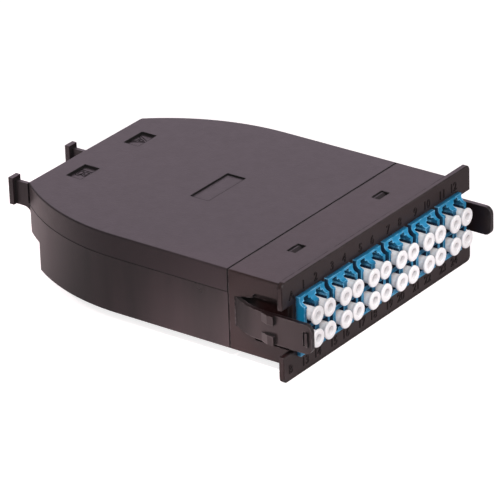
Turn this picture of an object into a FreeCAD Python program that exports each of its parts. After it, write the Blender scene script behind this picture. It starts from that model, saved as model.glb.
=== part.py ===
import FreeCAD, Part
import math
import os
import re
import Sketcher

# A 24-port fibre cassette.  +X is the panel's right, the panel faces -Y and +Z is up.
# The origin is at the middle of the whole cassette's footprint, level with the panel's lower edge.
# Inside each housing piece, y = 0 is the panel's front face and z = 0 is the panel's lower edge.

SIZES = {
    # front panel and the frame behind it
    "panel_width": 100.0,
    "panel_height": 33.0,
    "panel_thickness": 1.7,
    "panel_round": 1.8,
    "body_width": 89.6,
    "body_height": 26.6,
    "body_depth": 112.3,
    "wall": 1.5,
    "frame_depth": 23.5,
    "edge_round": 0.5,
    "edge_break": 0.25,
    # rear housing
    "tray_rise": 18.8,
    "taper_length": 45.3,
    "taper_inset": 16.0,
    "rear_round": 1.6,
    "step_rise": 9.8,
    "step_depth": 6.9,
    "lap": 1.2,
    "seam_gap": 0.35,
    "parting": 0.15,
    "lip_reach": 2.5,
    "lip_width": 80.0,
    "spool_radius": 13.0,
    "spool_wall": 1.2,
    "spool_rise": 9.0,
    "spool_spacing": 36.0,
    "spool_setback": 44.0,
    # shallow fields moulded in the cover
    "field_width": 9.5,
    "field_length": 5.7,
    "field_sink": 0.7,
    "field_setback": 9.7,
    "field_shift": 1.0,
    "label_width": 19.4,
    "label_length": 6.9,
    "label_sink": 0.4,
    "label_setback": 52.1,
    # snap tongues and their windows
    "snap_spacing": 44.4,
    "snap_width": 5.6,
    "snap_length": 3.0,
    "snap_setback": 14.5,
    "tongue_width": 8.4,
    "tongue_thickness": 1.1,
    "hook_flat": 0.8,
    # fibre adapters
    "columns": 6,
    "adapter_pitch": 14.7,
    "adapter_width": 12.7,
    "adapter_body": 11.8,
    "adapter_height": 19.5,
    "adapter_front": 3.05,
    "adapter_rear": 22.4,
    "shoulder_rise": 1.1,
    "shoulder_length": 1.6,
    "scoop_level": 1.0,
    "bar_stand": 1.35,
    "bar_height": 0.7,
    "port_pitch": 6.25,
    "row_pitch": 7.6,
    "port_width": 4.4,
    "port_height": 4.6,
    "port_depth": 10.5,
    "rail_gap": 3.65,
    "rail_height": 0.5,
    "catch_width": 4.0,
    "catch_height": 1.3,
    "lever_slot": 2.3,
    "relief_height": 0.8,
    "relief_depth": 1.4,
    "sleeve_diameter": 3.0,
    "sleeve_length": 14.0,
    "ferrule_diameter": 1.25,
    # dust caps
    "cap_flange": 5.8,
    "cap_rim": 0.8,
    "cap_tube": 4.3,
    "cap_stand": 1.95,
    "cap_insert": 7.0,
    "cap_bore": 2.1,
    "cap_mouth": 3.3,
    "cap_bore_depth": 2.2,
    "cap_bevel": 0.25,
    "cap_socket": 3.2,
    # latch arms
    "latch_reach": 9.5,
    "latch_height": 9.6,
    "latch_thickness": 1.4,
    "latch_bow": 3.9,
    "latch_root": 20.6,
    "latch_straight": 8.0,
    "latch_tip_round": 2.4,
    "tooth_rise": 1.1,
    "tooth_height": 3.0,
    "tooth_front": 3.8,
    "tooth_flat": 2.2,
    "tooth_length": 5.0,
    "grip_rise": 0.6,
    "grip_height": 4.6,
    "grip_width": 0.9,
    "grip_setback": 1.3,
    "grip_pocket": 1.9,
    "grip_sink": 0.5,
    "notch_height": 15.5,
    "rib_length": 8.0,
    "recess_sink": 0.7,
    "recess_round": 1.5,
    "opening_flare": 1.4,
    "throat_setback": 6.0,
    # trunk adapters in the rear wall
    "trunk_pitch": 29.4,
    "trunk_width": 12.7,
    "trunk_height": 9.3,
    "trunk_stand": 6.5,
    "trunk_inside": 11.0,
    "trunk_port_width": 9.9,
    "trunk_port_height": 6.9,
    "trunk_ears": 15.1,
    "trunk_ear_thickness": 1.2,
    "trunk_key_width": 2.6,
    "trunk_key_rise": 0.7,
    "trunk_insert": 8.0,
    "trunk_cap_stand": 2.5,
    "trunk_cap_width": 11.6,
    "trunk_cap_height": 6.0,
    # plugs and fibre inside the housing
    "plug_width": 4.4,
    "plug_insert": 10.0,
    "plug_stand": 6.0,
    "clip_wall": 0.8,
    "lever_width": 2.6,
    "lever_thickness": 0.7,
    "lever_rise": 1.9,
    "boot_length": 7.0,
    "boot_diameter": 3.0,
    "boot_wall": 0.5,
    "fibre_diameter": 0.9,
    "bundle_diameter": 3.0,
    "fanout_length": 9.0,
    "fanout_width": 12.0,
    "fanout_height": 4.0,
    "fanout_setback": 13.0,
    "trunk_plug_length": 13.0,
    "trunk_boot_length": 9.0,
    # cable-tie posts
    "post_pitch": 28.4,
    "post_corner": 1.3,
    "post_web": 1.3,
    "post_plate": 3.9,
    "post_plate_thickness": 1.7,
    "post_height": 9.1,
    "post_stand": 7.6,
    "post_sink": 1.1,
    "post_gap": 1.0,
    "post_flare": 2.8,
    # clearances
    "fit": 0.1,
    "pivot_fit": 0.08,
    "ferrule_fit": 0.02,
}

doc = FreeCAD.newDocument("fibre_cassette")
sheet = doc.addObject("Spreadsheet::Sheet", "Sizes")
for row, (alias, value) in enumerate(SIZES.items(), start=1):
    sheet.set(f"A{row}", alias)
    sheet.set(f"B{row}", str(value))
    sheet.setAlias(f"B{row}", alias)
doc.recompute()

ALIASES = re.compile(r"\b(" + "|".join(SIZES) + r")\b")
pieces = []

# ---------------------------------------------------------------- derived sizes
SIDE = "(body_width / 2)"
BOTTOM = "((panel_height - body_height) / 2)"
TOP = "((panel_height + body_height) / 2)"
MID = "(panel_height / 2)"
SEAM = f"({BOTTOM} + tray_rise)"
STEP = f"({BOTTOM} + step_rise)"
STEP_REAR = "(body_depth - step_depth)"
TAPER_START = "(body_depth - taper_length)"
TAPER_RADIUS = "((taper_length ^ 2 + taper_inset ^ 2) / (2 * taper_inset))"
HOUSING_FRONT = "(frame_depth + seam_gap)"
COVER_LOW = f"({SEAM} + parting)"
REAR_REACH = "(body_depth + trunk_stand + trunk_cap_stand)"
FACE = f"((latch_reach - {REAR_REACH}) / 2)"
TRUNK_Z = f"({STEP} + wall + trunk_height / 2 + fit / 2)"


def ex(text):
    """Write plain size names as references to the sheet."""
    return ALIASES.sub(r"Sizes.\1", text)


def num(text):
    """The value of an expression in the sheet's sizes."""
    return float(sheet.evalExpression(ex(text)))


# ---------------------------------------------------------------- sketch and feature helpers
def new_body(label, x="0", y=FACE, z="0"):
    """A body with its own label, placed by expressions."""
    body = doc.addObject("PartDesign::Body", label)
    body.Label = label
    for axis, text in (("x", x), ("y", y), ("z", z)):
        body.setExpression(f"Placement.Base.{axis}", ex(text))
    pieces.append(body)
    return body


def copy_of(original, label, x, z):
    """Another of the same moulding, in a body of its own."""
    body = new_body(label, x=x, z=z)
    body.setExpression("Placement.Base.y", f"{original.Name}.Placement.Base.y")
    base = body.newObject("PartDesign::FeatureBase", f"{label}_base")
    base.BaseFeature = original
    body.Tip = base
    return body


def origin_plane(body, role):
    return [item for item in body.Origin.OriginFeatures if item.Role == role][0]


def lock(sketch, element, position, across=None, up=None):
    """Tie one point of a sketch to expressions."""
    for kind, text in (("DistanceX", across), ("DistanceY", up)):
        if text is not None:
            index = sketch.addConstraint(
                Sketcher.Constraint(kind, -1, 1, element, position, num(text)))
            sketch.setExpression(f"Constraints[{index}]", ex(text))


def arc_between(start, end, centre):
    """The short arc from start to end, and whether it runs counter-clockwise."""
    first = start - centre
    second = end - centre
    counter = first.x * second.y - first.y * second.x > 0
    angles = [math.atan2(v.y, v.x) for v in (first, second)]
    if not counter:
        angles.reverse()
    circle = Part.Circle(centre, FreeCAD.Vector(0, 0, 1), first.Length)
    return Part.ArcOfCircle(circle, angles[0], angles[1]), counter


def draw_loop(sketch, corners):
    """A closed outline. A corner is (across, up); one reached by an arc adds the arc's centre."""
    spots = [FreeCAD.Vector(num(c[0]), num(c[1]), 0) for c in corners]
    count = len(corners)
    ends = []
    for i in range(count):
        target = corners[(i + 1) % count]
        start, end = spots[i], spots[(i + 1) % count]
        if len(target) == 2:
            element = sketch.addGeometry(Part.LineSegment(start, end))
            ends.append((element, 1, 2, None))
        else:
            centre = FreeCAD.Vector(num(target[2]), num(target[3]), 0)
            arc, counter = arc_between(start, end, centre)
            element = sketch.addGeometry(arc)
            lock(sketch, element, 3, target[2], target[3])
            ends.append((element, 1, 2, centre) if counter else (element, 2, 1, centre))
    for i in range(count):
        element, _, last, _ = ends[i]
        following, first, _, _ = ends[(i + 1) % count]
        sketch.addConstraint(Sketcher.Constraint("Coincident", element, last, following, first))
    for i in range(count):
        element, first, _, _ = ends[i]
        centre = ends[i - 1][3]
        across, up = corners[i][0], corners[i][1]
        if centre is not None:
            flat = abs(spots[i].y - centre.y) > abs(spots[i].x - centre.x)
            across, up = (across, None) if flat else (None, up)
        lock(sketch, element, first, across, up)


def draw_circle(sketch, across, up, radius):
    middle = FreeCAD.Vector(num(across), num(up), 0)
    circle = Part.Circle(middle, FreeCAD.Vector(0, 0, 1), num(radius))
    element = sketch.addGeometry(circle)
    lock(sketch, element, 3, across, up)
    index = sketch.addConstraint(Sketcher.Constraint("Radius", element, num(radius)))
    sketch.setExpression(f"Constraints[{index}]", ex(radius))


def sketch_on(body, role, lift="0", loops=(), circles=()):
    """A sketch on one of the body's own planes, moved along the plane's normal."""
    sketch = body.newObject("Sketcher::SketchObject", f"{body.Label}_outline")
    sketch.AttachmentSupport = (origin_plane(body, role), [""])
    sketch.MapMode = "FlatFace"
    sketch.setExpression("AttachmentOffset.Base.z", ex(lift))
    for corners in loops:
        draw_loop(sketch, corners)
    for across, up, radius in circles:
        draw_circle(sketch, across, up, radius)
    return sketch


def box_loop(left, right, low, high):
    return [(left, low), (right, low), (right, high), (left, high)]


def add_feature(body, kind, sketch, length, backwards=False, symmetric=False):
    feature = body.newObject(f"PartDesign::{kind}", f"{body.Label}_{kind.lower()}")
    feature.Profile = sketch
    if length is None:
        feature.Type = "ThroughAll"
    else:
        feature.setExpression("Length", ex(length))
    if symmetric:
        feature.SideType = "Symmetric"
    feature.Reversed = backwards
    body.Tip = feature
    return feature


def pad(body, sketch, length, backwards=False, symmetric=False):
    return add_feature(body, "Pad", sketch, length, backwards, symmetric)


def pocket(body, sketch, length=None, backwards=False, symmetric=False):
    return add_feature(body, "Pocket", sketch, length, backwards, symmetric)


def slab(body, left, right, front, back, low, high):
    """Add a plain block that runs from front to back."""
    sketch = sketch_on(body, "XZ_Plane", f"-({front})", [box_loop(left, right, low, high)])
    return pad(body, sketch, f"({back}) - ({front})", backwards=True)


def cut(body, left, right, front, back, low, high):
    """Take a plain block away."""
    sketch = sketch_on(body, "XZ_Plane", f"-({front})", [box_loop(left, right, low, high)])
    return pocket(body, sketch, f"({back}) - ({front})")


def row_of(body, features, pitch, count):
    """Repeat features along +X."""
    pattern = body.newObject("PartDesign::LinearPattern", f"{body.Label}_row")
    pattern.Originals = features
    pattern.Direction = (origin_plane(body, "X_Axis"), [""])
    pattern.setExpression("Length", ex(f"({pitch}) * (({count}) - 1)"))
    pattern.setExpression("Occurrences", ex(count))
    body.Tip = pattern
    return pattern


def mirror_of(body, features, role):
    mirrored = body.newObject("PartDesign::Mirrored", f"{body.Label}_mirror")
    mirrored.Originals = features
    mirrored.MirrorPlane = (origin_plane(body, role), [""])
    body.Tip = mirrored
    return mirrored


def soften(body, radius, chosen, kind="Fillet"):
    """Round or chamfer the edges that the test picks."""
    doc.recompute()
    base = body.Tip
    names = [f"Edge{i + 1}" for i, edge in enumerate(base.Shape.Edges) if chosen(edge)]
    feature = body.newObject(f"PartDesign::{kind}", f"{body.Label}_{kind.lower()}")
    feature.Base = (base, names)
    feature.setExpression("Radius" if kind == "Fillet" else "Size", ex(radius))
    body.Tip = feature
    return feature


def runs_along(edge, axis):
    """True for a straight edge that is parallel to x, y or z."""
    if edge.Curve.TypeId != "Part::GeomLine":
        return False
    step = edge.Vertexes[-1].Point - edge.Vertexes[0].Point
    return abs(getattr(step.normalize(), axis)) > 0.999


def near(value, text, slack=0.05):
    return abs(value - num(text)) < slack


# ---------------------------------------------------------------- housing outlines
def taper_x(inset, rear):
    """Half width of the tapered housing at a given depth, with the wall set in."""
    reach = f"(({TAPER_RADIUS} - {inset}) ^ 2 - ({rear} - {TAPER_START}) ^ 2)"
    return f"({SIDE} - {TAPER_RADIUS} + sqrt({reach}))"


def housing_loop(inset, front, rear):
    """Plan of the rear housing: straight sides, then a curved taper to the rear wall."""
    half = f"({SIDE} - {inset})"
    back = taper_x(inset, rear)
    hub = f"({SIDE} - {TAPER_RADIUS})"
    return [
        (f"-{half}", front),
        (half, front),
        (half, TAPER_START),
        (back, rear, hub, TAPER_START),
        (f"-{back}", rear),
        (f"-{half}", TAPER_START, f"-{hub}", TAPER_START),
    ]


def trunk_window(body):
    """Openings for the two trunk adapters, shared by tray and cover."""
    half = "(trunk_width / 2 + fit)"
    tall = "(trunk_height / 2 + fit / 2)"
    left = "-trunk_pitch / 2"
    hole = cut(body, f"{left} - {half}", f"{left} + {half}", "body_depth - wall * 2", "body_depth + wall",
               f"{TRUNK_Z} - {tall}", f"{TRUNK_Z} + {tall}")
    return row_of(body, [hole], "trunk_pitch", "2")


def front_lip(body, inner, outer, root):
    """A lip that reaches into the front frame and closes the seam from inside."""
    half = "lip_width / 2"
    back = f"({HOUSING_FRONT} + wall)"
    slab(body, f"-{half}", half, "frame_depth - lip_reach", back, *sorted((inner, outer), key=num))
    slab(body, f"-{half}", half, HOUSING_FRONT, back, *sorted((inner, root), key=num))


def snap_tongues(body, inner, outer, sign):
    """Two tongues on the lip, each with a ramped hook in the frame's window."""
    middle = "-snap_spacing / 2"
    half = "tongue_width / 2"
    tongue = slab(body, f"{middle} - {half}", f"{middle} + {half}",
                  "snap_setback - snap_length", "frame_depth", *sorted((inner, outer), key=num))
    front = "snap_setback - snap_length / 2 + fit"
    back = "snap_setback + snap_length / 2 - fit"
    crest = f"({outer}) {sign} (wall + fit) * 0.8"
    hook_sketch = sketch_on(body, "YZ_Plane", middle, [[
        (front, inner), (back, inner), (back, crest), (f"{back} - hook_flat", crest), (front, outer)]])
    hook = pad(body, hook_sketch, "snap_width - 2 * fit", symmetric=True)
    return row_of(body, [tongue, hook], "snap_spacing", "2")


# ---------------------------------------------------------------- front frame
def make_front_frame():
    """The panel and the four-sided frame behind it, moulded in one."""
    body = new_body("front_frame")
    half = "panel_width / 2"
    low = f"({MID} - notch_height / 2)"
    high = f"({MID} + notch_height / 2)"
    panel = sketch_on(body, "XZ_Plane", "0", [[
        (f"-{half}", "0"), (half, "0"), (half, low), (SIDE, low), (SIDE, high), (half, high),
        (half, "panel_height"), (f"-{half}", "panel_height"), (f"-{half}", high), (f"-{SIDE}", high),
        (f"-{SIDE}", low), (f"-{half}", low)]])
    pad(body, panel, "panel_thickness", backwards=True)
    soften(body, "panel_round", lambda edge: runs_along(edge, "y") and (
        near(edge.Vertexes[0].Z, "0") or near(edge.Vertexes[0].Z, "panel_height")))
    soften(body, "edge_break", lambda edge: near(edge.BoundBox.YMax, "0"), kind="Chamfer")

    inner = f"({SIDE} - wall)"
    ring = sketch_on(body, "XZ_Plane", "-panel_thickness", [
        box_loop(f"-{SIDE}", SIDE, BOTTOM, TOP),
        box_loop(f"-{inner}", inner, f"{BOTTOM} + wall", f"{TOP} - wall")])
    pad(body, ring, "frame_depth - panel_thickness", backwards=True)
    soften(body, "edge_round", lambda edge: runs_along(edge, "y") and near(abs(edge.Vertexes[0].X), SIDE)
           and near(edge.BoundBox.YMax, "frame_depth"))

    # windows for the adapters, and the ribs that part them behind the panel
    first = "-adapter_pitch * (columns - 1) / 2"
    wide = "(adapter_width / 2 + fit)"
    tall = "(adapter_height / 2 + fit)"
    window = cut(body, f"{first} - {wide}", f"{first} + {wide}", "-wall", "panel_thickness + wall",
                 f"{MID} - {tall}", f"{MID} + {tall}")
    row_of(body, [window], "adapter_pitch", "columns")
    rib_x = "-adapter_pitch * (columns - 2) / 2"
    rib = "((adapter_pitch - adapter_body) / 2 - 2 * fit)"
    floor, roof = f"{BOTTOM} + wall / 2", f"{TOP} - wall / 2"
    fin = slab(body, f"{rib_x} - {rib}", f"{rib_x} + {rib}",
               "panel_thickness", "panel_thickness + rib_length", floor, roof)
    row_of(body, [fin], "adapter_pitch", "columns - 1")

    # thin inner side walls that close the latch openings towards the adapters
    lining = slab(body, "adapter_pitch * (columns - 1) / 2 + adapter_body / 2 + fit", inner,
                  "panel_thickness", "frame_depth - wall", floor, roof)
    mirror_of(body, [lining], "YZ_Plane")

    cut_latch_openings(body)
    cut_snap_windows(body)
    return body


def cut_latch_openings(body):
    """Side openings that the latch arms bend into, with a round seat for each root."""
    rise = "(latch_height / 2 + fit)"
    flare = "(latch_height / 2 + opening_flare)"
    throat = "(latch_root - throat_setback)"
    low = f"({MID} - notch_height / 2)"
    high = f"({MID} + notch_height / 2)"
    turn_in = f"({throat} - recess_round)"
    for side in (-1, 1):
        opening = sketch_on(body, "YZ_Plane", f"{side} * ({SIDE} + wall)", [[
            ("panel_thickness", f"{MID} - {flare}"), (throat, f"{MID} - {flare}"),
            ("latch_root", f"{MID} - {rise}"), ("latch_root", f"{MID} + {rise}"),
            (throat, f"{MID} + {flare}"), ("panel_thickness", f"{MID} + {flare}")]])
        pocket(body, opening, "wall * 2", backwards=side < 0)
        field = sketch_on(body, "YZ_Plane", f"{side} * ({SIDE} + wall)", [[
            ("panel_thickness", low),
            (turn_in, low),
            (throat, f"{low} + recess_round", turn_in, f"{low} + recess_round"),
            (throat, f"{high} - recess_round"),
            (turn_in, high, turn_in, f"{high} - recess_round"),
            ("panel_thickness", high)]])
        pocket(body, field, "wall + recess_sink", backwards=side < 0)
        seat = sketch_on(body, "XY_Plane", f"{MID} - {rise}",
                         circles=[(f"{side} * ({SIDE} - wall / 2)", "latch_root", "wall / 2 + pivot_fit")])
        pocket(body, seat, f"2 * {rise}", backwards=True)


def cut_snap_windows(body):
    """Windows in the roof and the floor of the frame that the snap hooks show through."""
    middle = "-snap_spacing / 2"
    hole = sketch_on(body, "XY_Plane", "-1", [box_loop(
        f"{middle} - snap_width / 2", f"{middle} + snap_width / 2",
        "snap_setback - snap_length / 2", "snap_setback + snap_length / 2")])
    window = pocket(body, hole, "panel_height + 2", backwards=True)
    row_of(body, [window], "snap_spacing", "2")


# ---------------------------------------------------------------- rear housing
def make_base_tray():
    """The lower half of the rear housing, with the step at its lower rear edge."""
    body = new_body("base_tray")
    upper = sketch_on(body, "XY_Plane", STEP, [housing_loop("0", HOUSING_FRONT, "body_depth")])
    pad(body, upper, "tray_rise - step_rise")
    lower = sketch_on(body, "XY_Plane", BOTTOM, [housing_loop("0", HOUSING_FRONT, STEP_REAR)])
    pad(body, lower, "step_rise")
    soften(body, "rear_round", lambda edge: runs_along(edge, "z") and (
        near(edge.Vertexes[0].Y, "body_depth") or near(edge.Vertexes[0].Y, STEP_REAR))
        and edge.Length > 1)
    soften(body, "edge_round", lambda edge: near(edge.BoundBox.ZMax, BOTTOM)
           and not near(edge.BoundBox.YMax, HOUSING_FRONT))

    # the inner half of the wall rises past the seam and laps into the cover
    lap_in = "(wall / 2 + fit / 2)"
    ring = sketch_on(body, "XY_Plane", SEAM,
                     [housing_loop(lap_in, f"({HOUSING_FRONT} + wall + fit)", f"(body_depth - {lap_in})")])
    pad(body, ring, "lap")

    deep = sketch_on(body, "XY_Plane", f"{SEAM} + lap",
                     [housing_loop("wall", "frame_depth - wall", f"({STEP_REAR} - wall)")])
    pocket(body, deep, "tray_rise + lap - wall")
    shallow = sketch_on(body, "XY_Plane", f"{SEAM} + lap",
                        [housing_loop("wall", "frame_depth - wall", "(body_depth - wall)")])
    pocket(body, shallow, "tray_rise + lap - step_rise - wall")

    trunk_window(body)
    add_spools(body)
    add_posts(body)
    outer = f"{BOTTOM} + wall + fit"
    front_lip(body, f"{outer} + tongue_thickness", outer, f"{BOTTOM} + wall / 2")
    snap_tongues(body, f"{outer} + tongue_thickness", outer, "-")
    return body


def add_spools(body):
    """Two open rings that the spare fibre is wound round."""
    floor = f"({BOTTOM} + wall / 2)"
    middle = "-spool_spacing / 2"
    depth = "body_depth - spool_setback"
    ring = sketch_on(body, "XY_Plane", floor, circles=[
        (middle, depth, "spool_radius"), (middle, depth, "spool_radius - spool_wall")])
    spool = pad(body, ring, "spool_rise")
    row_of(body, [spool], "spool_spacing", "2")


def add_posts(body):
    """T-shaped posts for cable ties, one left of each trunk adapter."""
    first = f"(post_corner - {taper_x('0', 'body_depth')})"
    crown = f"({TOP} - post_sink)"
    foot = f"({TOP} - post_height)"
    root = f"({foot} - post_flare)"
    plate_y = "(body_depth + post_stand - post_plate_thickness)"
    web = sketch_on(body, "YZ_Plane", first, [[
        ("body_depth - wall / 2", root),
        ("body_depth", root),
        ("body_depth + post_flare", foot, "body_depth + post_flare", root),
        (plate_y, foot),
        (plate_y, crown),
        ("body_depth + post_gap", crown),
        ("body_depth + post_gap", SEAM),
        ("body_depth - wall / 2", SEAM)]])
    blade = pad(body, web, "post_web", symmetric=True)
    half = "post_plate / 2"
    plate = slab(body, f"{first} - {half}", f"{first} + {half}",
                 plate_y, "body_depth + post_stand", foot, TOP)
    row_of(body, [blade, plate], "post_pitch", "2")


def make_top_cover():
    """The upper half of the rear housing: the lid, its skirt and the fields moulded in it."""
    body = new_body("top_cover")
    cover_rise = f"({TOP} - {COVER_LOW})"
    outline = sketch_on(body, "XY_Plane", COVER_LOW, [housing_loop("0", HOUSING_FRONT, "body_depth")])
    pad(body, outline, cover_rise)
    soften(body, "rear_round",
           lambda edge: runs_along(edge, "z") and near(edge.Vertexes[0].Y, "body_depth"))
    soften(body, "edge_round", lambda edge: near(edge.BoundBox.ZMin, TOP) and near(edge.BoundBox.ZMax, TOP)
           and not near(edge.BoundBox.YMax, HOUSING_FRONT))
    inside = sketch_on(body, "XY_Plane", COVER_LOW,
                       [housing_loop("wall", "frame_depth - wall", "(body_depth - wall)")])
    pocket(body, inside, f"{cover_rise} - wall", backwards=True)
    lap_in = "(wall / 2)"
    rabbet = sketch_on(body, "XY_Plane", COVER_LOW,
                       [housing_loop(lap_in, "frame_depth - wall", f"(body_depth - {lap_in})")])
    pocket(body, rabbet, "lap + fit - parting", backwards=True)
    trunk_window(body)

    half = "field_width / 2"
    middle = "field_shift - trunk_pitch / 2"
    field = sketch_on(body, "XY_Plane", TOP, [box_loop(
        f"{middle} - {half}", f"{middle} + {half}",
        "body_depth - field_setback - field_length / 2", "body_depth - field_setback + field_length / 2")])
    sunk = pocket(body, field, "field_sink")
    row_of(body, [sunk], "trunk_pitch", "2")
    label = sketch_on(body, "XY_Plane", TOP, [box_loop(
        "-label_width / 2", "label_width / 2",
        "body_depth - label_setback - label_length / 2", "body_depth - label_setback + label_length / 2")])
    pocket(body, label, "label_sink")
    outer = f"{TOP} - wall - fit"
    front_lip(body, f"{outer} - tongue_thickness", outer, f"{TOP} - wall / 2")
    snap_tongues(body, f"{outer} - tongue_thickness", outer, "+")
    return body


# ---------------------------------------------------------------- latch arms
def make_latch(label, side):
    """A springy side arm: round root, bowed shoulder, two teeth and a grip rib at the tip."""
    body = new_body(label)
    out = f"{side} * ({SIDE} + "
    outer = f"{out}latch_bow)"
    inner = f"{out}latch_bow - latch_thickness)"
    run = "(latch_root - latch_straight)"
    outer_radius = f"(({run} ^ 2 + latch_bow ^ 2) / (2 * latch_bow))"
    inner_bow = "(latch_bow - latch_thickness + wall)"
    inner_radius = f"(({run} ^ 2 + {inner_bow} ^ 2) / (2 * {inner_bow}))"
    hub = f"{out}0 - wall / 2)"
    knuckle = "latch_root + wall / 2"
    plan = [
        (outer, "-latch_reach"),
        (outer, "latch_straight"),
        (f"{side} * {SIDE}", "latch_root", f"{out}latch_bow - {outer_radius})", "latch_straight"),
        (hub, knuckle, hub, "latch_root"),
        (f"{out}0 - wall)", "latch_root", hub, "latch_root"),
        (inner, "latch_straight", f"{out}latch_bow - latch_thickness - {inner_radius})", "latch_straight"),
        (inner, "-latch_reach"),
    ]
    bottom = f"({MID} - latch_height / 2)"
    pad(body, sketch_on(body, "XY_Plane", bottom, [plan]), "latch_height")
    soften(body, "latch_tip_round",
           lambda edge: runs_along(edge, "x") and near(edge.Vertexes[0].Y, "-latch_reach"))

    # a tooth at the top and one at the bottom: square towards the panel, a ramp towards the root
    crest = f"{out}latch_bow + tooth_rise)"
    sunk = f"{out}latch_bow - latch_thickness / 2)"
    tooth = [(sunk, "tooth_front"), (crest, "tooth_front"), (crest, "tooth_front + tooth_flat"),
             (outer, "tooth_front + tooth_length"), (sunk, "tooth_front + tooth_length")]
    for low in (bottom, f"{MID} + latch_height / 2 - tooth_height"):
        pad(body, sketch_on(body, "XY_Plane", low, [tooth]), "tooth_height")

    # a shallow pocket near the tip, with the grip rib standing in its front half
    tip = "(grip_setback - latch_reach)"
    span = (f"{MID} - grip_height / 2", f"{MID} + grip_height / 2")
    hollow = sketch_on(body, "YZ_Plane", outer, [box_loop(tip, f"{tip} + grip_pocket", *span)])
    pocket(body, hollow, "grip_sink", backwards=side < 0)
    rib = sketch_on(body, "YZ_Plane", sunk, [box_loop(tip, f"{tip} + grip_width", *span)])
    pad(body, rib, "latch_thickness / 2 + grip_rise", backwards=side < 0)
    return body


# ---------------------------------------------------------------- fibre adapters
def in_all_ports(outline):
    """An outline drawn about a port's centre, moved to all four ports and turned outwards in each."""
    return [[(f"{side} * port_pitch / 2 + {across}", f"{level} * (row_pitch / 2 + {up})")
             for across, up in outline] for side in (-1, 1) for level in (-1, 1)]


def column_x(column):
    return f"({column} - (columns - 1) / 2) * adapter_pitch"


def make_adapter(label, x):
    """One moulding with four fibre ports, two over two, lever slots outwards."""
    body = new_body(label, x=x, z=MID)
    head = "(adapter_width / 2)"
    half = "(adapter_body / 2)"
    tall = "(adapter_height / 2)"
    slab(body, f"-{head}", head, "-adapter_front", "panel_thickness - fit", f"-{tall}", tall)
    slab(body, f"-{half}", half, "0", "adapter_rear", f"-{tall}", tall)
    shoulder = slab(body, f"shoulder_rise - {half}", f"{half} - shoulder_rise",
                    "panel_thickness + fit / 2", "panel_thickness + shoulder_length",
                    f"{tall} - shoulder_rise", f"{tall} + shoulder_rise")
    mirror_of(body, [shoulder], "XY_Plane")
    scoop = cut_scoop(body)
    mirror_of(body, [scoop], "XY_Plane")

    for front in ("-adapter_front", "adapter_rear - port_depth"):
        ports = sketch_on(body, "XZ_Plane", f"-({front})", in_all_ports(port_outline()))
        pocket(body, ports, "port_depth")
    low = "-port_height / 2"
    relief = box_loop("-port_width / 2", "port_width / 2", f"{low} - relief_height", "0")
    reliefs = sketch_on(body, "XZ_Plane", "adapter_front", in_all_ports(relief))
    pocket(body, reliefs, "relief_depth")
    add_sleeve_holders(body)
    return body


def port_outline():
    """A port seen from the front: plug opening, two rails, room for the lever's catches, lever slot."""
    steps = [
        ("port_width / 2", "-port_height / 2"),
        ("port_width / 2", "port_height / 2"),
        ("rail_gap / 2", "port_height / 2"),
        ("rail_gap / 2", "port_height / 2 + rail_height"),
        ("catch_width / 2", "port_height / 2 + rail_height"),
        ("catch_width / 2", "port_height / 2 + rail_height + catch_height"),
        ("lever_slot / 2", "port_height / 2 + rail_height + catch_height"),
        ("lever_slot / 2", "(adapter_height - row_pitch) / 2 - bar_height")]
    return steps + [(f"-({across})", up) for across, up in reversed(steps)]


def cut_scoop(body):
    """The latch zone at the front is scooped back from the ports in a quarter round."""
    radius = "(adapter_front - bar_stand)"
    level = "(adapter_height / 2 - scoop_level)"
    profile = sketch_on(body, "YZ_Plane", "0", [[
        ("-adapter_front - 1", "adapter_height / 2 + 1"),
        ("-adapter_front - 1", f"{level} - {radius}"),
        ("-adapter_front", f"{level} - {radius}"),
        ("-bar_stand", level, "-adapter_front", level),
        ("-bar_stand", "adapter_height / 2 + 1")]])
    return pocket(body, profile, "adapter_width + 2", symmetric=True)


def port_circles(radius):
    port, row = "port_pitch / 2", "row_pitch / 2"
    return [(f"{a}{port}", f"{u}{row}", radius) for a in ("", "-") for u in ("", "-")]


def add_sleeve_holders(body):
    """Round holders that stand up in the ports from the middle wall, bored for the ferrules."""
    middle = "(adapter_rear - adapter_front) / 2"
    holder = sketch_on(body, "XZ_Plane", f"-({middle})", circles=port_circles("sleeve_diameter / 2"))
    pad(body, holder, "sleeve_length", symmetric=True)
    bore = sketch_on(body, "XZ_Plane", f"-({middle})",
                     circles=port_circles("ferrule_diameter / 2 + ferrule_fit"))
    pocket(body, bore, "sleeve_length + 1", symmetric=True)


# ---------------------------------------------------------------- dust caps
def make_cap(label, x, z):
    """A one-piece dust cap: flange, tube, blind front bore and a socket over the sleeve holder."""
    body = new_body(label, x=x, y=f"{FACE} - adapter_front", z=z)
    tip = "(0 - cap_stand - cap_rim)"
    floor = "(cap_bore_depth - cap_stand)"
    profile = sketch_on(body, "XY_Plane", "0", [[
        ("0", floor),
        ("cap_bore / 2", floor),
        ("cap_bore / 2", f"{tip} + cap_rim / 2"),
        ("cap_mouth / 2", tip),
        ("cap_flange / 2 - cap_bevel", tip),
        ("cap_flange / 2", f"{tip} + cap_bevel"),
        ("cap_flange / 2", "0 - cap_stand - cap_bevel / 2"),
        ("cap_flange / 2 - cap_bevel", "0 - cap_stand"),
        ("cap_tube / 2", "0 - cap_stand"),
        ("cap_tube / 2", "cap_insert"),
        ("sleeve_diameter / 2 + 2 * fit", "cap_insert"),
        ("sleeve_diameter / 2 + 2 * fit", "cap_insert - cap_socket"),
        ("0", "cap_insert - cap_socket")]])
    turn(body, profile)
    return body


# ---------------------------------------------------------------- trunk adapters, their caps and plugs
def trunk_body(label, side, y="body_depth"):
    """A body centred on one trunk adapter, measured from the rear wall's outer face."""
    return new_body(label, x=f"{side} * trunk_pitch / 2", y=f"{FACE} + {y}", z=TRUNK_Z)


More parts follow.
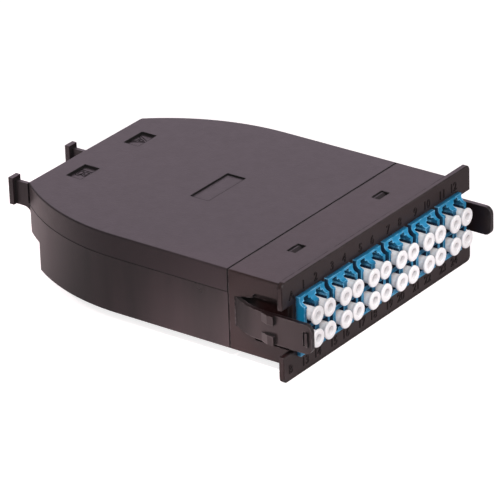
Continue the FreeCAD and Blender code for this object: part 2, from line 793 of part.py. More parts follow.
def rectangle(width, height):
    return box_loop(f"-({width}) / 2", f"({width}) / 2", f"-({height}) / 2", f"({height}) / 2")


def bar(body, width, height, front, back):
    """A centred block that runs from front to back."""
    return pad(body, sketch_on(body, "XZ_Plane", f"-({front})", [rectangle(width, height)]),
               f"({back}) - ({front})", backwards=True)


def make_trunk_adapter(label, side):
    """A multi-fibre adapter: a square tube with a key slot, and ears that seat behind the rear wall."""
    body = trunk_body(label, side)
    bar(body, "trunk_width", "trunk_height", "-trunk_inside", "trunk_stand")
    bar(body, "trunk_ears", "trunk_height", "-wall - trunk_ear_thickness", "-wall")
    cut(body, "-trunk_port_width / 2", "trunk_port_width / 2", "-trunk_inside", "trunk_stand",
        "-trunk_port_height / 2", "trunk_port_height / 2")
    cut(body, "-trunk_key_width / 2", "trunk_key_width / 2", "-trunk_inside", "trunk_stand",
        "0", "trunk_port_height / 2 + trunk_key_rise")
    return body


def make_trunk_cap(label, side):
    """A dust cap for the trunk port: a hollow insert and a finger plate."""
    body = trunk_body(label, side, "body_depth + trunk_stand")
    inside = "trunk_port_width - 4 * fit"
    tall = "trunk_port_height - 4 * fit"
    bar(body, inside, tall, "-trunk_insert", "0")
    bar(body, "trunk_cap_width", "trunk_cap_height", "0", "trunk_cap_stand")
    soften(body, "edge_round", lambda edge: runs_along(edge, "y") and edge.BoundBox.YMin > -0.1)
    cut(body, "wall - trunk_port_width / 2", "trunk_port_width / 2 - wall", "-trunk_insert", "0",
        "wall - trunk_port_height / 2", "trunk_port_height / 2 - wall")
    return body


def make_trunk_plug(label, side):
    """The multi-fibre plug inside: nose, key, sliding sleeve and boot."""
    body = trunk_body(label, side, "body_depth - trunk_inside")
    bar(body, "trunk_port_width - 4 * fit", "trunk_port_height - 4 * fit", "0", "trunk_insert")
    bar(body, "trunk_width - 2 * fit", "trunk_height - 4 * fit", "-trunk_plug_length", "-3 * fit")
    bar(body, "trunk_port_width - wall", "trunk_port_height - wall",
        "-trunk_plug_length / 2", "trunk_insert / 2")
    slab(body, "fit - trunk_key_width / 2", "trunk_key_width / 2 - fit", "0", "trunk_insert",
         "0", "trunk_port_height / 2 + trunk_key_rise - 2 * fit")
    boot = sketch_on(body, "XY_Plane", "0", [[
        ("0", "wall - trunk_plug_length"),
        ("trunk_port_height / 2", "wall - trunk_plug_length"),
        ("trunk_port_height / 2", "-trunk_plug_length"),
        ("bundle_diameter / 2 + boot_wall", "-trunk_plug_length - trunk_boot_length"),
        ("0", "-trunk_plug_length - trunk_boot_length")]])
    turn(body, boot)
    return body


def turn(body, profile):
    """Spin a half profile about the sketch's upright axis."""
    turned = body.newObject("PartDesign::Revolution", f"{body.Label}_turned")
    turned.Profile = profile
    turned.ReferenceAxis = (profile, ["V_Axis"])
    turned.Angle = 360
    body.Tip = turned
    return turned


# ---------------------------------------------------------------- duplex plugs behind the adapters
def make_plug_pair(label, x, sign):
    """Two plugs held in one clip, with levers outwards and boots towards the fibre."""
    body = new_body(label, x=x, y=f"{FACE} + adapter_rear", z=f"{MID} + {sign} * row_pitch / 2")
    port = "port_pitch / 2"
    half = "plug_width / 2"
    housing = sketch_on(body, "XZ_Plane", "plug_insert", [
        box_loop(f"{side} * {port} - {half}", f"{side} * {port} + {half}", f"-{half}", half)
        for side in (-1, 1)])
    pad(body, housing, "plug_insert + plug_stand", backwards=True)
    bar(body, "port_pitch + plug_width + 2 * clip_wall", "plug_width - 2 * clip_wall",
        "2 * clip_wall", "plug_stand - clip_wall")
    lever = sketch_on(body, "YZ_Plane", f"-{port}", [[
        ("lever_thickness * 3 - plug_insert", f"{sign} * ({half} - lever_thickness / 2)"),
        ("lever_thickness * 3 - plug_insert", f"{sign} * ({half} + lever_thickness)"),
        ("plug_stand - clip_wall", f"{sign} * ({half} + lever_rise)"),
        ("plug_stand - clip_wall", f"{sign} * ({half} + lever_rise - lever_thickness)"),
        ("lever_thickness * 6 - plug_insert", f"{sign} * ({half} - lever_thickness / 2)")]])
    bent = pad(body, lever, "lever_width", symmetric=True)
    row_of(body, [bent], "port_pitch", "2")
    socket = sketch_on(body, "XZ_Plane", "plug_insert", circles=[
        (f"{side} * {port}", "0", "sleeve_diameter / 2 + 2 * fit") for side in (-1, 1)])
    pocket(body, socket, "plug_insert / 2")
    ferrule = sketch_on(body, "XZ_Plane", "plug_insert - fit", circles=[
        (f"{side} * {port}", "0", "ferrule_diameter / 2") for side in (-1, 1)])
    pad(body, ferrule, "plug_insert / 2 + 1", backwards=True)
    boots = sketch_on(body, "XZ_Plane", "-plug_stand", circles=[
        (f"{side} * {port}", "0", "boot_diameter / 2") for side in (-1, 1)])
    boot = pad(body, boots, "boot_length", backwards=True)
    boot.TaperAngle = -6
    return body


# ---------------------------------------------------------------- fibre harnesses
def vector(*texts):
    return FreeCAD.Vector(*[num(text) for text in texts])


def make_harness(label, side):
    """Twelve fibres that leave a fan-out block for the plugs, and the bundle back to the trunk plug."""
    block_y = "(adapter_rear + plug_stand + boot_length + fanout_setback)"
    centre_x = f"({side} * adapter_pitch * 1.5)"
    shape = Part.makeBox(num("fanout_width"), num("fanout_length"), num("fanout_height"),
                         vector(f"{centre_x} - fanout_width / 2", block_y, f"{MID} - fanout_height / 2"))
    for column in range(3):
        for place in (-1, 1):
            for level in (-1, 1):
                strand = column * 2 + (place + 1) / 2 - 2.5
                shape = shape.fuse(fibre_strand(
                    f"{centre_x} + ({column} - 1) * adapter_pitch + {place} * port_pitch / 2",
                    f"{MID} + {level} * row_pitch / 2",
                    f"{centre_x} + {strand} * fanout_width / 7",
                    f"{MID} + {level} * fanout_height / 4", block_y))
    shape = shape.fuse(fibre_bundle(side, centre_x, block_y))
    feature = doc.addObject("Part::Feature", label)
    feature.Label = label
    feature.Shape = shape.removeSplitter()
    feature.Placement = FreeCAD.Placement(vector("0", FACE, "0"), FreeCAD.Rotation())
    pieces.append(feature)
    return feature


def swept(poles, radius, sides):
    """A plain tube with flat sides along a smooth curve that starts and ends along Y."""
    curve = Part.BezierCurve()
    curve.setPoles(poles)
    ring = [poles[0] + FreeCAD.Vector(radius * math.cos(2 * math.pi * i / sides), 0,
                                      radius * math.sin(2 * math.pi * i / sides)) for i in range(sides)]
    profile = Part.makePolygon(ring + ring[:1])
    return Part.Wire(curve.toShape()).makePipeShell([profile], True, False)


def fibre_strand(plug_x, plug_z, block_x, block_z, block_y):
    boot_end = "(adapter_rear + plug_stand + boot_length)"
    middle = f"({boot_end} + {block_y}) / 2"
    poles = [vector(plug_x, boot_end, plug_z), vector(plug_x, middle, plug_z),
             vector(block_x, middle, block_z), vector(block_x, f"{block_y} + 1", block_z)]
    return swept(poles, num("fibre_diameter / 2"), 6)


def fibre_bundle(side, centre_x, block_y):
    front = f"{block_y} + fanout_length - 1"
    back = "(body_depth - trunk_inside - trunk_plug_length - trunk_boot_length)"
    trunk_x = f"{side} * trunk_pitch / 2"
    poles = [vector(centre_x, front, MID), vector(centre_x, f"({front} + {back}) / 2", MID),
             vector(trunk_x, f"({front} + {back}) / 2", TRUNK_Z), vector(trunk_x, back, TRUNK_Z)]
    return swept(poles, num("bundle_diameter / 2"), 10)


# ---------------------------------------------------------------- build and write
def check_everything():
    """Every object is up to date, and every sub-part is one valid solid."""
    doc.recompute()
    for item in doc.Objects:
        if "Invalid" in item.State or "Error" in item.State:
            raise RuntimeError(f"{item.Label} failed: {item.State}")
    for item in pieces:
        shape = item.Shape
        if shape.isNull() or not shape.isValid():
            raise RuntimeError(f"{item.Label} has no valid shape")
        print(item.Label, len(shape.Solids), "solid", round(shape.Volume, 1), "mm3")


def write_everything():
    os.makedirs("parts", exist_ok=True)
    for item in pieces:
        item.Shape.exportStep(os.path.join("parts", f"{item.Label}.step"))


make_front_frame()
make_latch("left_latch", -1)
make_latch("right_latch", 1)
make_base_tray()
make_top_cover()
COLUMNS = range(int(num("columns")))
first_adapter = make_adapter("lc_adapter_1", column_x(0))
for column in COLUMNS[1:]:
    copy_of(first_adapter, f"lc_adapter_{column + 1}", column_x(column), MID)

first_cap = None
for row, letter, sign in ((0, "a", 1), (1, "b", -1)):
    level = f"{MID} + {sign} * row_pitch / 2"
    first_pair = make_plug_pair(f"lc_plug_{letter}1", column_x(0), sign)
    for column in COLUMNS[1:]:
        copy_of(first_pair, f"lc_plug_{letter}{column + 1}", column_x(column), level)
    for column in COLUMNS:
        for place in (0, 1):
            label = f"dust_cap_{letter}{2 * (len(COLUMNS) * row + column) + place + 1:02d}"
            x = f"{column_x(column)} + ({place} - 0.5) * port_pitch"
            if first_cap is None:
                first_cap = make_cap(label, x, level)
            else:
                copy_of(first_cap, label, x, level)
for letter, side in (("a", 1), ("b", -1)):
    make_trunk_adapter(f"trunk_adapter_{letter}", side)
    make_trunk_cap(f"trunk_cap_{letter}", side)
    make_trunk_plug(f"trunk_plug_{letter}", side)
    make_harness(f"fibre_harness_{letter}", side)
check_everything()
write_everything()
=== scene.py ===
import bmesh
import bpy
import math
from mathutils import Matrix, Vector


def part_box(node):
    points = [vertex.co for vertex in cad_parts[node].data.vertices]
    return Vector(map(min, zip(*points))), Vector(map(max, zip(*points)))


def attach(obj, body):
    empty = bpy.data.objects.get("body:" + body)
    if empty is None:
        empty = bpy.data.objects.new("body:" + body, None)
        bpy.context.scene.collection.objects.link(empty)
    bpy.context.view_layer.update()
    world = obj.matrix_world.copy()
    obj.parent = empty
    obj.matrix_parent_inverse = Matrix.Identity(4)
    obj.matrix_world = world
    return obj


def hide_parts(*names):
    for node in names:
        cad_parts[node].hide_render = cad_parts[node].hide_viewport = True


# Looks of a fibre cassette: moulded black housing, blue adapters, white dust caps.
# Lengths are in metres, mostly written as millimetres times MM.

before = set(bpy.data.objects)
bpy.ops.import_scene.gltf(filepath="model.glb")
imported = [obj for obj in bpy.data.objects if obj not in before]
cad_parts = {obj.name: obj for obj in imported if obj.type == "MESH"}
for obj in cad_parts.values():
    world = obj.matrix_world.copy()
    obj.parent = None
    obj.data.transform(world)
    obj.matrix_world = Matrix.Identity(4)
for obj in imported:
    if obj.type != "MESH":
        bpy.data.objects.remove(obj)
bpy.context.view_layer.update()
MM = 0.001


# ---------------------------------------------------------------- shader nodes
# the Mix node's colour sockets have the same names as its other ones, so they go by number
MIX_FIRST_COLOUR = 6
MIX_SECOND_COLOUR = 7
MIX_COLOUR = 2


def new_material(name):
    material = bpy.data.materials.new(name)
    material.use_nodes = True
    nodes = material.node_tree.nodes
    links = material.node_tree.links
    return material, nodes, links, nodes["Principled BSDF"]


def noise(nodes, links, scale, detail=3.0, roughness=0.5, stretch=None):
    """Fine noise in object space, so that its grain has one size all over the part."""
    place = nodes.new("ShaderNodeTexCoord").outputs["Object"]
    if stretch:
        mapping = nodes.new("ShaderNodeMapping")
        mapping.inputs["Scale"].default_value = stretch
        links.new(place, mapping.inputs["Vector"])
        place = mapping.outputs["Vector"]
    texture = nodes.new("ShaderNodeTexNoise")
    texture.inputs["Scale"].default_value = scale
    texture.inputs["Detail"].default_value = detail
    texture.inputs["Roughness"].default_value = roughness
    links.new(place, texture.inputs["Vector"])
    return texture.outputs["Fac"]


def ramp(nodes, links, source, low, high, start=0.3, end=0.7):
    """Two colours or two greys, blended over part of the noise's range."""
    band = nodes.new("ShaderNodeValToRGB")
    first, last = band.color_ramp.elements
    first.position = start
    first.color = (*low, 1.0)
    last.position = end
    last.color = (*high, 1.0)
    links.new(source, band.inputs["Fac"])
    return band.outputs["Color"]


def grey(value):
    return (value, value, value)


def mask(nodes, links, source, empty, full, most=1.0):
    """A number from 0 to the most as the source goes from one value to the other."""
    scale = nodes.new("ShaderNodeMapRange")
    scale.inputs["From Min"].default_value = empty
    scale.inputs["From Max"].default_value = full
    scale.inputs["To Max"].default_value = most
    links.new(source, scale.inputs["Value"])
    return scale.outputs["Result"]


def math_step(nodes, links, operation, first, second):
    """One step of arithmetic between two sockets."""
    step = nodes.new("ShaderNodeMath")
    step.operation = operation
    links.new(first, step.inputs[0])
    links.new(second, step.inputs[1])
    return step.outputs[0]


def separate(nodes, links, vector):
    """The three numbers of a vector, each as a socket."""
    parts = nodes.new("ShaderNodeSeparateXYZ")
    links.new(vector, parts.inputs[0])
    return tuple(parts.outputs)


def blend_colours(nodes, links, share, base, top):
    """The base socket with a plain colour over it by share."""
    mixer = nodes.new("ShaderNodeMix")
    mixer.data_type = "RGBA"
    links.new(share, mixer.inputs["Factor"])
    links.new(base, mixer.inputs[MIX_FIRST_COLOUR])
    mixer.inputs[MIX_SECOND_COLOUR].default_value = (*top, 1.0)
    return mixer.outputs[MIX_COLOUR]


# ---------------------------------------------------------------- masks on the surface
SENSE_SAMPLES = 6
EDGE_REACH = 0.4 * MM
EDGE_RANGE = (0.9, 0.6)
# painted highlights: pale dashes along the outer edges
HIGHLIGHT_DASH_SCALE = 350.0
HIGHLIGHT_DASH_RANGE = (0.42, 0.62)

# the hollow of the front frame and the latch arms' roots, which get painted shade and a duller gloss
WALL = 1.5 * MM
PANEL = 3.0 * MM
HOLLOW_LOW = Vector(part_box("base_tray")[0]) + Vector((WALL, 0.0, WALL))
HOLLOW_HIGH = Vector(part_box("top_cover")[1]) - Vector((WALL, 0.0, WALL))
HOLLOW_LOW.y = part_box("front_frame")[0][1] + PANEL
HOLLOW_HIGH.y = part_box("front_frame")[1][1]
HOLLOW_FADE = 0.2 * MM
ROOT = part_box("left_latch")[1][1]
SHOULDER = 6.0 * MM
ROOT_SHADE_SHARE = 0.5


def openness(nodes, reach, inside=False):
    """How open the space round a point is. Seen from inside the solid, it falls at outer edges."""
    sense = nodes.new("ShaderNodeAmbientOcclusion")
    sense.samples = SENSE_SAMPLES
    sense.inside = inside
    sense.only_local = inside
    sense.inputs["Distance"].default_value = reach
    return sense.outputs["AO"]


def outer_edges(nodes, links):
    """1 at the solid's outer edges and 0 on its faces."""
    return mask(nodes, links, openness(nodes, EDGE_REACH, True), *EDGE_RANGE)


def rubbed_patches(nodes, links, edge):
    """Dashes along the outer edges that get a painted highlight."""
    patches = mask(nodes, links, noise(nodes, links, HIGHLIGHT_DASH_SCALE), *HIGHLIGHT_DASH_RANGE)
    return math_step(nodes, links, "MULTIPLY", edge, patches)


def inside_the_frame(nodes, links):
    """1 behind the front frame's outer walls, where the hollow gets painted shade, and 0 elsewhere."""
    middle = (HOLLOW_LOW + HOLLOW_HIGH) / 2
    place = nodes.new("ShaderNodeTexCoord").outputs["Object"]
    for operation, amount in (("SUBTRACT", middle), ("ABSOLUTE", None), ("SUBTRACT", HOLLOW_HIGH - middle)):
        step = nodes.new("ShaderNodeVectorMath")
        step.operation = operation
        links.new(place, step.inputs[0])
        if amount:
            step.inputs[1].default_value = amount
        place = step.outputs[0]
    past_x, past_y, past_z = separate(nodes, links, place)
    past = math_step(nodes, links, "MAXIMUM", past_x, past_y)
    past = math_step(nodes, links, "MAXIMUM", past, past_z)
    return mask(nodes, links, past, 0.0, -HOLLOW_FADE)


def towards_the_root(nodes, links):
    """Grows along a latch arm from its shoulder to its root, which gets painted shade and a duller gloss
    than its tip.
    """
    place = nodes.new("ShaderNodeTexCoord").outputs["Object"]
    along = separate(nodes, links, place)[1]
    return mask(nodes, links, along, ROOT - 2 * SHOULDER, ROOT - SHOULDER, ROOT_SHADE_SHARE)


# ---------------------------------------------------------------- moulded plastic
DUSTY = 0.9
RUBBED = 0.8
DRIFT_SCALE = 45.0
CLOUD_SCALE = 420.0
GLOSS_CHANGE = 0.02
FLOW_SCALE = 75.0
FLOW_STRETCH = (1.0, 1.0, 0.15)
GRAIN_SCALE = 1500.0
GRAIN_ROUGHNESS = 0.6
GRAIN_HEIGHT = 0.1 * MM
GLOW_RADIUS = (1.0, 0.9, 0.85)
GLOW_DEPTH = 0.8 * MM


def moulded(name, colour, roughness, grain_depth=0.03, spread=0.04, specular=0.5, subsurface=0.0,
            edge_highlight=None, shaded=None, shade_reach=1.5 * MM, shade_range=(0.9, 0.5), streaked=0.0,
            painted_dark_edges=False, shaded_and_dulled_by=None):
    """Moulded plastic: slow colour drift, uneven gloss and a fine eroded grain.

    worn is the colour of painted highlights in dashes along outer edges. shaded is that of painted shade in
    gaps and slots, which are also dull with dust, of the painted dark line that painted_dark_edges asks for
    along outer edges, and of the place that the mask shaded_and_dulled_by gives. streaked is how much the
    gloss changes between flow lines along the height."""
    material, nodes, links, shader = new_material(name)
    if streaked:
        drift = noise(nodes, links, FLOW_SCALE, stretch=FLOW_STRETCH)
        cloud = noise(nodes, links, FLOW_SCALE, stretch=FLOW_STRETCH)
    else:
        drift = noise(nodes, links, DRIFT_SCALE, detail=2.0)
        cloud = noise(nodes, links, CLOUD_SCALE, detail=4.0)
    low = tuple(channel * (1.0 - spread) for channel in colour)
    high = tuple(min(1.0, channel * (1.0 + spread)) for channel in colour)
    change = GLOSS_CHANGE + streaked
    paint = ramp(nodes, links, drift, low, high)
    gloss = ramp(nodes, links, cloud, grey(roughness - change), grey(roughness + change))

    layers = []
    # painted shade: the colour goes to shaded where little space is open round a point, in gaps, slots and
    # bores
    if shaded:
        layers.append((mask(nodes, links, openness(nodes, shade_reach), *shade_range), shaded, DUSTY))
    # painted shade, with a duller gloss, in the place that the mask shaded_and_dulled_by gives
    if shaded_and_dulled_by:
        layers.append((shaded_and_dulled_by(nodes, links), shaded, DUSTY))
    edge = outer_edges(nodes, links) if painted_dark_edges or edge_highlight else None
    # painted shade: a near-black line along the outer edges, with a rougher gloss
    if painted_dark_edges:
        layers.append((edge, shaded, RUBBED))
    for share, top, dullness in layers:
        paint = blend_colours(nodes, links, share, paint, top)
        gloss = blend_colours(nodes, links, share, gloss, grey(dullness))
    # painted highlight: a pale colour in dashes along the outer edges
    if edge_highlight:
        paint = blend_colours(nodes, links, rubbed_patches(nodes, links, edge), paint, edge_highlight)
    links.new(paint, shader.inputs["Base Color"])
    links.new(gloss, shader.inputs["Roughness"])

    add_grain(nodes, links, shader, grain_depth)
    shader.inputs["Specular IOR Level"].default_value = specular
    if subsurface:
        shader.inputs["Subsurface Weight"].default_value = subsurface
        shader.inputs["Subsurface Radius"].default_value = GLOW_RADIUS
        shader.inputs["Subsurface Scale"].default_value = GLOW_DEPTH
    return material


def add_grain(nodes, links, shader, depth):
    """The fine texture that the mould's surface leaves."""
    bump = nodes.new("ShaderNodeBump")
    bump.inputs["Strength"].default_value = depth
    bump.inputs["Distance"].default_value = GRAIN_HEIGHT
    pits = noise(nodes, links, GRAIN_SCALE, detail=2.0, roughness=GRAIN_ROUGHNESS)
    links.new(pits, bump.inputs["Height"])
    links.new(bump.outputs["Normal"], shader.inputs["Normal"])


# ---------------------------------------------------------------- finish of each node
COVER_BLACK = (0.0155, 0.0085, 0.0105)
TRAY_BLACK = (0.0165, 0.0105, 0.0118)
FRAME_BLACK = (0.0150, 0.0060, 0.0058)
LATCH_BLACK = (0.0125, 0.0066, 0.0070)
# painted highlight on the outer edges of the frame and the latches
PAINTED_EDGE_HIGHLIGHT = (0.075, 0.064, 0.066)
# painted shade for the black parts' gaps, slots, hollow and edge lines
GAP_SHADE = (0.0006, 0.0004, 0.0004)
ADAPTER_BLUE = (0.006, 0.245, 0.465)
# painted highlight on the adapters' outer edges
ADAPTER_EDGE_HIGHLIGHT = (0.20, 0.58, 0.88)
# painted shade in the adapters' slots
ADAPTER_GAP_SHADE = (0.0005, 0.010, 0.036)
CAP_WHITE = (0.95, 0.935, 0.94)
# painted shade in the caps' bores and on their tubes near the adapters
CAP_SHADE = (0.60, 0.58, 0.585)
# painted shade: the near-black of the lines round the raised characters
CHARACTER_EDGE_SHADE = (0.0015, 0.001, 0.001)

cover_plastic = moulded("cover_plastic", COVER_BLACK, 0.38, grain_depth=0.25, shaded=GAP_SHADE, painted_dark_edges=True)
tray_plastic = moulded("tray_plastic", TRAY_BLACK, 0.33, grain_depth=0.12, spread=0.9, shaded=GAP_SHADE,
                       streaked=0.06)
frame_plastic = moulded("frame_plastic", FRAME_BLACK, 0.35, grain_depth=0.2, specular=0.4, edge_highlight=PAINTED_EDGE_HIGHLIGHT,
                        shaded=GAP_SHADE, shade_reach=4.0 * MM, shade_range=(0.75, 0.4), painted_dark_edges=True,
                        shaded_and_dulled_by=inside_the_frame)
latch_plastic = moulded("latch_plastic", LATCH_BLACK, 0.32, grain_depth=0.1, edge_highlight=PAINTED_EDGE_HIGHLIGHT, shaded=GAP_SHADE,
                        shaded_and_dulled_by=towards_the_root)
adapter_plastic = moulded("adapter_plastic", ADAPTER_BLUE, 0.36, grain_depth=0.08, spread=0.1,
                          edge_highlight=ADAPTER_EDGE_HIGHLIGHT, shaded=ADAPTER_GAP_SHADE, shade_reach=3.5 * MM,
                          shade_range=(0.85, 0.45))
cap_plastic = moulded("cap_plastic", CAP_WHITE, 0.5, grain_depth=0.05, spread=0.015, subsurface=0.12,
                      shaded=CAP_SHADE, shade_reach=2.5 * MM, shade_range=(0.7, 0.3))
plug_plastic = moulded("plug_plastic", (0.02, 0.16, 0.42), 0.4)
trunk_plastic = moulded("trunk_plastic", (0.022, 0.020, 0.020), 0.4)
trunk_cap_plastic = moulded("trunk_cap_plastic", (0.03, 0.03, 0.03), 0.6)
trunk_plug_plastic = moulded("trunk_plug_plastic", (0.02, 0.24, 0.10), 0.4)
fibre_sheath = moulded("fibre_sheath", (0.78, 0.55, 0.04), 0.5)
character_plastic = moulded("character_plastic", CHARACTER_EDGE_SHADE, 0.5, grain_depth=0.1, specular=0.12)

FINISHES = {
    "front_frame": frame_plastic,
    "left_latch": latch_plastic,
    "right_latch": latch_plastic,
    "top_cover": cover_plastic,
    "base_tray": tray_plastic,
    "lc_adapter_": adapter_plastic,
    "dust_cap_": cap_plastic,
    "lc_plug_": plug_plastic,
    "trunk_adapter_": trunk_plastic,
    "trunk_cap_": trunk_cap_plastic,
    "trunk_plug_": trunk_plug_plastic,
    "fibre_harness_": fibre_sheath,
}


def dress_the_nodes():
    """Every node gets the finish that its name starts with."""
    for name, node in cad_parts.items():
        for start, finish in FINISHES.items():
            if name.startswith(start):
                node.data.materials.clear()
                node.data.materials.append(finish)


# ---------------------------------------------------------------- dust caps
CAP_TURN = 48
CAP_CREASE = math.radians(50)


def rounded(centre, radius, start, end, steps=5):
    """Points of an arc in (radius, depth), from one angle to the other in degrees."""
    for step in range(steps + 1):
        angle = math.radians(start + (end - start) * step / steps)
        yield centre[0] + radius * math.cos(angle), centre[1] + radius * math.sin(angle)


def cap_outline(length):
    """Half section of a cap: radius and depth behind its front face, in millimetres."""
    flange, rim, tube = 2.9, 0.8, 2.15
    bore, bore_depth, bore_end = 1.3, 3.0, 0.2
    socket, socket_depth = 1.7, 3.2
    front, back, mouth, tip = 0.34, 0.2, 0.25, 0.35
    yield 0.0, bore_depth
    yield from rounded((bore - bore_end, bore_depth - bore_end), bore_end, 90, 0, steps=3)
    yield from rounded((bore + mouth, mouth), mouth, 180, 270)
    yield from rounded((flange - front, front), front, -90, 0, steps=7)
    yield from rounded((flange - back, rim - back), back, 0, 90, steps=4)
    yield from rounded((tube + back, rim + back), back, 270, 180, steps=4)
    yield from rounded((tube - tip, length - tip), tip, 0, 90)
    yield socket, length
    yield socket, length - socket_depth
    yield 0.0, length - socket_depth


def lathe(name, outline, place):
    """Turn a half section round the line that goes back from a place, towards +y."""
    shape = bmesh.new()
    rings = [lathe_ring(shape, radius * MM, place + Vector((0.0, depth * MM, 0.0)))
             for radius, depth in outline]
    for ring, following in zip(rings, rings[1:]):
        for step in range(CAP_TURN):
            corners = [ring[step % len(ring)], ring[(step + 1) % len(ring)],
                       following[(step + 1) % len(following)], following[step % len(following)]]
            shape.faces.new(list(dict.fromkeys(corners)))
    bmesh.ops.recalc_face_normals(shape, faces=shape.faces)
    mesh = bpy.data.meshes.new(name)
    shape.to_mesh(mesh)
    shape.free()
    mesh.shade_smooth()
    mesh.set_sharp_from_angle(angle=CAP_CREASE)
    piece = bpy.data.objects.new(name, mesh)
    bpy.context.collection.objects.link(piece)
    return piece


def lathe_ring(shape, radius, centre):
    """Points round a centre, or the centre alone where the section meets the axis."""
    if radius == 0:
        return [shape.verts.new(centre)]
    angles = [2 * math.pi * step / CAP_TURN for step in range(CAP_TURN)]
    return [shape.verts.new(centre + radius * Vector((math.sin(angle), 0.0, math.cos(angle))))
            for angle in angles]


def turn_the_caps():
    """Every cap as a turned piece with a rounded rim and a soft mouth, on the body of its solid."""
    for node in list(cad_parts):
        if node.startswith("dust_cap_"):
            low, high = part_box(node)
            place = Vector(((low[0] + high[0]) / 2, low[1], (low[2] + high[2]) / 2))
            outline = cap_outline((high[1] - low[1]) / MM)
            piece = lathe(f"turned_{node.removeprefix('dust_')}", outline, place)
            piece.data.materials.append(cap_plastic)
            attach(piece, node)
            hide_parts(node)


# ---------------------------------------------------------------- moulded characters
FACING_FRONT = (math.radians(90), 0.0, 0.0)
READ_FROM_REAR = (0.0, 0.0, math.radians(180))
PORTS_IN_A_ROW = 12
LINE = 0.075 * MM
LINE_ROUNDING = 1
LINE_STEPS = 5
LINE_LIFT = 0.02 * MM

NUMBER_SIZE = 3.8 * MM
NUMBER_WEIGHT = 0.02 * MM
NUMBER_SHIFT = 0.8 * MM
UPPER_NUMBERS = 4.4 * MM
LOWER_NUMBERS = 3.3 * MM
ROW_A_INSET = 4.8 * MM
ROW_A_DROP = 5.5 * MM
ROW_B_INSET = 3.4 * MM
ROW_B_RISE = 3.7 * MM

LETTER_SIZE = 6.6 * MM
LETTER_WIDTH = 1.3
FIELD_SHIFT = 1.4 * MM
FIELD_SETBACK = 9.3 * MM
FIELD_SINK = 0.7 * MM
LETTER_RISE = 0.04 * MM


def character(name, text, place, turn, size, weight):
    """A character drawn by a thin moulded line round its edge, painted near-black as the shade round a
    raised character.
    """
    curve = bpy.data.curves.new(name, "FONT")
    curve.body = text
    curve.size = size
    curve.align_x = "CENTER"
    curve.align_y = "CENTER"
    curve.offset = weight
    curve.fill_mode = "NONE"
    curve.bevel_depth = LINE
    curve.bevel_resolution = LINE_ROUNDING
    curve.resolution_u = LINE_STEPS
    curve.materials.append(character_plastic)
    piece = bpy.data.objects.new(name, curve)
    bpy.context.collection.objects.link(piece)
    piece.location = place
    piece.rotation_euler = turn
    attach(piece, "housing")
    return piece


def panel_character(name, text, across, face, level):
    """A character on the front panel's face."""
    character(name, text, (across, face, level), FACING_FRONT, NUMBER_SIZE, NUMBER_WEIGHT)


def number_the_ports():
    """1 to 12 over the upper row and 13 to 24 under the lower row, with a letter at each row's start."""
    panel_low, panel_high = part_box("front_frame")
    face = panel_low[1] - LINE_LIFT
    rows = (("a", panel_high[2] - UPPER_NUMBERS, 1), ("b", panel_low[2] + LOWER_NUMBERS, PORTS_IN_A_ROW + 1))
    for row, level, first in rows:
        for number in range(first, first + PORTS_IN_A_ROW):
            cap_low, cap_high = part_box(f"dust_cap_{row}{number:02d}")
            across = (cap_low[0] + cap_high[0]) / 2 + NUMBER_SHIFT
            panel_character(f"number_{number}", str(number), across, face, level)
    panel_character("row_a", "A", panel_low[0] + ROW_A_INSET, face, panel_high[2] - ROW_A_DROP)
    panel_character("row_b", "B", panel_low[0] + ROW_B_INSET, face, panel_low[2] + ROW_B_RISE)


def letter_the_trunks():
    """A and B in the cover's two fields, over the trunk ports and read from the rear."""
    cover_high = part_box("top_cover")[1]
    for letter in "ab":
        port_low, port_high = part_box(f"trunk_adapter_{letter}")
        place = ((port_low[0] + port_high[0]) / 2 + FIELD_SHIFT, cover_high[1] - FIELD_SETBACK,
                 cover_high[2] - FIELD_SINK + LETTER_RISE)
        piece = character(f"trunk_letter_{letter}", letter.upper(), place, READ_FROM_REAR, LETTER_SIZE, 0.0)
        piece.scale.x = LETTER_WIDTH


# ---------------------------------------------------------------- camera, stage and light
FLOOR_REACH = 4.0
FLOOR_DROP = 0.2 * MM
FLOOR = (0.55, 0.48, 0.49)
FLOOR_GLOW = 0.8
WORLD = 0.2
MIRRORED = 0.15
CARD = (1.0, 0.84, 0.86)
WHITE = (1.0, 0.98, 0.99)
MAGENTA = (1.0, 0.75, 0.94)
LAMP_AIM = (0.0, 0.0, 0.015)
SPOT_RADIUS = 0.02


def add_camera():
    """The camera looks down on the front left corner through a long lens."""
    azimuth = math.radians(-53.057)
    elevation = math.radians(25.892)
    roll = math.radians(-1.903)
    distance = 1.2899
    lens = 299.42
    sensor = 36.0
    aim = Vector((0.00129, -0.00627, 0.01036))
    out = Vector((math.sin(azimuth) * math.cos(elevation), -math.cos(azimuth) * math.cos(elevation),
                  math.sin(elevation)))
    data = bpy.data.cameras.new("camera")
    data.lens = lens
    data.sensor_width = sensor
    camera = bpy.data.objects.new("camera", data)
    bpy.context.collection.objects.link(camera)
    level = (-out).to_track_quat("-Z", "Y").to_matrix().to_4x4()
    camera.matrix_world = Matrix.Translation(aim + out * distance) @ level @ Matrix.Rotation(roll, 4, "Z")
    bpy.context.scene.camera = camera


def background(nodes, links, plain, seen, mirrored):
    """A strength of its own for what the camera sees, and one for what reflections and glass show."""
    path = nodes.new("ShaderNodeLightPath").outputs
    reflected = math_step(nodes, links, "MAXIMUM", path["Is Glossy Ray"], path["Is Transmission Ray"])
    total = None
    for source, strength in ((reflected, mirrored), (path["Is Camera Ray"], seen)):
        step = nodes.new("ShaderNodeMath")
        step.operation = "MULTIPLY_ADD"
        links.new(source, step.inputs[0])
        step.inputs[1].default_value = strength - plain
        step.inputs[2].default_value = plain
        if total:
            links.new(total, step.inputs[2])
        total = step.outputs[0]
    return total


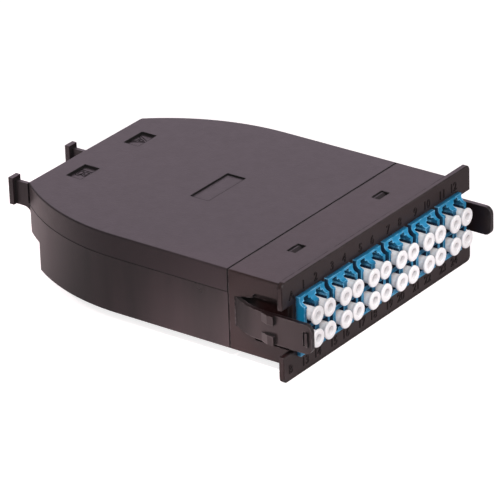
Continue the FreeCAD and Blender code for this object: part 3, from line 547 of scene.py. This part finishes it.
def add_floor():
    """A pale floor just under the part. It glows for the camera and keeps the part's shadow."""
    mesh = bpy.data.meshes.new("floor")
    corners = [(-FLOOR_REACH, -FLOOR_REACH, 0), (FLOOR_REACH, -FLOOR_REACH, 0),
               (FLOOR_REACH, FLOOR_REACH, 0), (-FLOOR_REACH, FLOOR_REACH, 0)]
    mesh.from_pydata(corners, [], [(0, 1, 2, 3)])
    floor = bpy.data.objects.new("floor", mesh)
    bpy.context.collection.objects.link(floor)
    floor.location.z = -FLOOR_DROP
    material = bpy.data.materials.new("floor")
    material.use_nodes = True
    nodes, links = material.node_tree.nodes, material.node_tree.links
    nodes.clear()
    diffuse = nodes.new("ShaderNodeBsdfDiffuse")
    diffuse.inputs["Color"].default_value = (*FLOOR, 1.0)
    glow = nodes.new("ShaderNodeEmission")
    links.new(background(nodes, links, 0.0, FLOOR_GLOW, MIRRORED), glow.inputs["Strength"])
    both = nodes.new("ShaderNodeAddShader")
    links.new(diffuse.outputs[0], both.inputs[0])
    links.new(glow.outputs[0], both.inputs[1])
    output = nodes.new("ShaderNodeOutputMaterial")
    links.new(both.outputs[0], output.inputs["Surface"])
    mesh.materials.append(material)


def add_world():
    """A dim white room that the camera sees as plain white."""
    world = bpy.data.worlds.new("world")
    bpy.context.scene.world = world
    world.use_nodes = True
    nodes, links = world.node_tree.nodes, world.node_tree.links
    sky = nodes["Background"]
    sky.inputs["Color"].default_value = (1.0, 1.0, 1.0, 1.0)
    links.new(background(nodes, links, WORLD, 1.0, WORLD + MIRRORED), sky.inputs["Strength"])


def add_light(name, kind, place, aim, power, colour):
    """A light of a kind at a place, turned towards what it is aimed at."""
    data = bpy.data.lights.new(name, kind)
    data.energy = power
    data.color = colour
    lamp = bpy.data.objects.new(name, data)
    bpy.context.collection.objects.link(lamp)
    lamp.location = place
    lamp.rotation_euler = (Vector(aim) - Vector(place)).to_track_quat("-Z", "Y").to_euler()
    return data


def add_lamp(name, place, size, power, colour):
    """A large soft light on the part."""
    data = add_light(name, "AREA", place, LAMP_AIM, power, colour)
    data.shape = "RECTANGLE"
    data.size, data.size_y = size


def add_spot(name, place, aim, power, spread, colour):
    """A narrow light that brightens the floor beside the part, as a reflector card would."""
    data = add_light(name, "SPOT", place, aim, power, colour)
    data.spot_size = math.radians(spread)
    data.spot_blend = 1.0
    data.shadow_soft_size = SPOT_RADIUS


def add_lights():
    """A large soft light behind on the right, a key light near the camera and a weak one opposite,
    and three spots on the floor that the left side, the rear curve and the panel mirror."""
    add_lamp("back", place=(1.30, 1.00, 0.75), size=(1.8, 1.0), power=5.6, colour=MAGENTA)
    add_lamp("key", place=(-0.9, -1.2, 1.1), size=(1.2, 1.0), power=24.0, colour=WHITE)
    add_lamp("fill", place=(1.2, -1.0, 0.8), size=(0.8, 0.8), power=1.0, colour=WHITE)
    add_spot("left_card", place=(-0.25, -0.05, 0.35), aim=(-0.070, -0.028, 0.0), power=16.5, spread=12.5,
             colour=CARD)
    add_spot("rear_card", place=(-0.20, 0.40, 0.30), aim=(-0.030, 0.105, 0.0), power=13.0, spread=16.0,
             colour=CARD)
    add_spot("front_card", place=(0.16, -0.42, 0.30), aim=(0.0, -0.068, 0.0), power=4.0, spread=14.0,
             colour=WHITE)


dress_the_nodes()
turn_the_caps()
number_the_ports()
letter_the_trunks()
add_camera()
add_floor()
add_world()
add_lights()
bpy.context.scene.view_settings.view_transform = "Standard"
